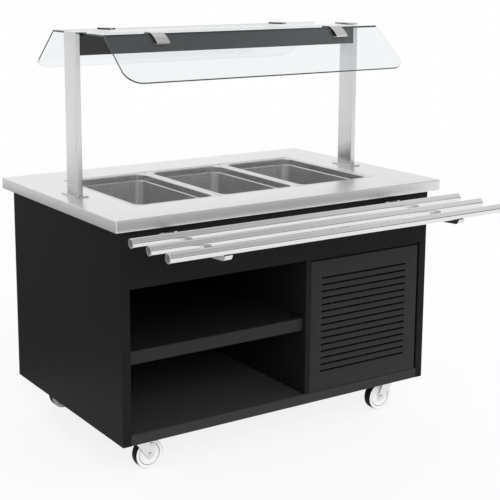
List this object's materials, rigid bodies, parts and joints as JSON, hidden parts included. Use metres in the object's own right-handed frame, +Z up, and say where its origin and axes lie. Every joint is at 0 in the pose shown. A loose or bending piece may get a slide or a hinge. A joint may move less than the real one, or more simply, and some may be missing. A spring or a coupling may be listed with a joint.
{
  "type": "mobile salad bar",
  "caption": "Mobile refrigerated salad bar: cooled well with lift-out food pans in a steel worktop, glass canopy with lamp housing, fold-down tray slide, plate bay and castors",
  "frame": {"origin": "on the floor, at the middle of the whole outline's bounding box", "axes": "+X to the customer's right, +Y away from the customer (the tray slide is at -Y), +Z up"},
  "size_m": [1.3, 1.189, 1.398],
  "materials": {
    "stainless": "satin",
    "black_board": "satin",
    "black_sheet": "satin",
    "foam": "matte",
    "copper": "satin",
    "fins": "matte",
    "galvanised": "matte",
    "black_enamel": "gloss",
    "black_plastic": "satin",
    "dark_grey": "satin",
    "diffuser": "satin",
    "seal": "matte",
    "clear_glass": "polished",
    "zinc": "satin",
    "grey_plastic": "satin",
    "tread": "matte"
  },
  "bodies": {
    "cabinet": {"back_glass": "clear_glass", "back_panel": "black_board", "base_panel": "black_board", "bay_ceiling": "black_sheet", "castor_plates": "zinc", "clamp_screws": "stainless", "compressor": "black_enamel", "condenser": "fins", "control_housing": "black_plastic", "cooling_coil": "copper", "divider_wall": "black_board", "drain_pipe": "stainless", "fan_motor": "galvanised", "fan_shroud": "galvanised", "front_fascia": "black_board", "front_glass": "clear_glass", "glass_clamps": "stainless", "glass_gasket": "seal", "lamp_diffuser": "diffuser", "lamp_housing": "dark_grey", "lamp_tube": "diffuser", "left_post": "stainless", "left_side_panel": "black_board", "louvred_panel": "black_sheet", "pan_dividers": "stainless", "post_caps": "stainless", "post_feet": "stainless", "right_post": "stainless", "right_side_panel": "black_board", "service_panel": "black_sheet", "shelf": "black_sheet", "shelf_angles": "black_sheet", "top_glass": "clear_glass", "tray_brackets": "stainless", "tray_hinge_pins": "stainless", "well_insulation": "foam", "well_tub": "stainless", "worktop": "stainless"},
    "tray_slide": {"tray_arms": "stainless", "tray_rails": "stainless"},
    "left_pan_body": {"left_pan": "stainless"},
    "centre_pan_body": {"centre_pan": "stainless"},
    "right_pan_body": {"right_pan": "stainless"},
    "condenser_fan": {"fan": "black_plastic"},
    "drain_valve": {"drain_lever": "stainless"},
    "cooling_switch": {"cooling_rocker": "black_plastic"},
    "lighting_switch": {"lighting_rocker": "black_plastic"},
    "thermostat": {"thermostat_knob": "black_plastic"},
    "front_left_castor": {"front_left_fork": "zinc"},
    "front_left_castor_wheel": {"front_left_wheel": "grey_plastic", "front_left_tyre": "tread"},
    "front_right_castor": {"front_right_fork": "zinc"},
    "front_right_castor_wheel": {"front_right_wheel": "grey_plastic", "front_right_tyre": "tread"},
    "back_left_castor": {"back_left_fork": "zinc"},
    "back_left_castor_wheel": {"back_left_wheel": "grey_plastic", "back_left_tyre": "tread"},
    "back_right_castor": {"back_right_fork": "zinc"},
    "back_right_castor_wheel": {"back_right_wheel": "grey_plastic", "back_right_tyre": "tread"}
  },
  "joints": [
    {"name": "tray_slide_fold", "type": "hinge", "parent": "cabinet", "child": "tray_slide", "pos_m": [0, -0.2955, 0.785], "axis": [1, 0, 0], "range_deg": [0, 90]},
    {"name": "left_pan_lift", "type": "slide", "parent": "cabinet", "child": "left_pan_body", "axis": [0, 0, 1], "range_m": [0, 0.2]},
    {"name": "centre_pan_lift", "type": "slide", "parent": "cabinet", "child": "centre_pan_body", "axis": [0, 0, 1], "range_m": [0, 0.2]},
    {"name": "right_pan_lift", "type": "slide", "parent": "cabinet", "child": "right_pan_body", "axis": [0, 0, 1], "range_m": [0, 0.2]},
    {"name": "fan_spin", "type": "hinge", "parent": "cabinet", "child": "condenser_fan", "pos_m": [0.3395, -0.1335, 0.345], "axis": [0, 1, 0], "continuous": true},
    {"name": "drain_valve_turn", "type": "hinge", "parent": "cabinet", "child": "drain_valve", "pos_m": [0.4, 0.1595, 0.5935], "axis": [0, 1, 0], "range_deg": [0, 90]},
    {"name": "cooling_switch_rock", "type": "hinge", "parent": "cabinet", "child": "cooling_switch", "pos_m": [0.351, 0.561, 0.764], "axis": [1, 0, 0], "range_deg": [0, 16]},
    {"name": "lighting_switch_rock", "type": "hinge", "parent": "cabinet", "child": "lighting_switch", "pos_m": [0.393, 0.561, 0.764], "axis": [1, 0, 0], "range_deg": [0, 16]},
    {"name": "thermostat_turn", "type": "hinge", "parent": "cabinet", "child": "thermostat", "pos_m": [0.252, 0.5665, 0.764], "axis": [0, 1, 0], "range_deg": [0, 270]},
    {"name": "front_left_swivel", "type": "hinge", "parent": "cabinet", "child": "front_left_castor", "pos_m": [-0.518, -0.1595, 0.125], "axis": [0, 0, 1], "continuous": true},
    {"name": "front_left_roll", "type": "hinge", "parent": "front_left_castor", "child": "front_left_castor_wheel", "pos_m": [-0.486, -0.1595, 0.05], "axis": [0, 1, 0], "continuous": true},
    {"name": "front_right_swivel", "type": "hinge", "parent": "cabinet", "child": "front_right_castor", "pos_m": [0.518, -0.1595, 0.125], "axis": [0, 0, 1], "continuous": true},
    {"name": "front_right_roll", "type": "hinge", "parent": "front_right_castor", "child": "front_right_castor_wheel", "pos_m": [0.486, -0.1595, 0.05], "axis": [0, -1, 0], "continuous": true},
    {"name": "back_left_swivel", "type": "hinge", "parent": "cabinet", "child": "back_left_castor", "pos_m": [-0.518, 0.4785, 0.125], "axis": [0, 0, 1], "continuous": true},
    {"name": "back_left_roll", "type": "hinge", "parent": "back_left_castor", "child": "back_left_castor_wheel", "pos_m": [-0.486, 0.4785, 0.05], "axis": [0, 1, 0], "continuous": true},
    {"name": "back_right_swivel", "type": "hinge", "parent": "cabinet", "child": "back_right_castor", "pos_m": [0.518, 0.4785, 0.125], "axis": [0, 0, 1], "continuous": true},
    {"name": "back_right_roll", "type": "hinge", "parent": "back_right_castor", "child": "back_right_castor_wheel", "pos_m": [0.486, 0.4785, 0.05], "axis": [0, -1, 0], "continuous": true}
  ]
}
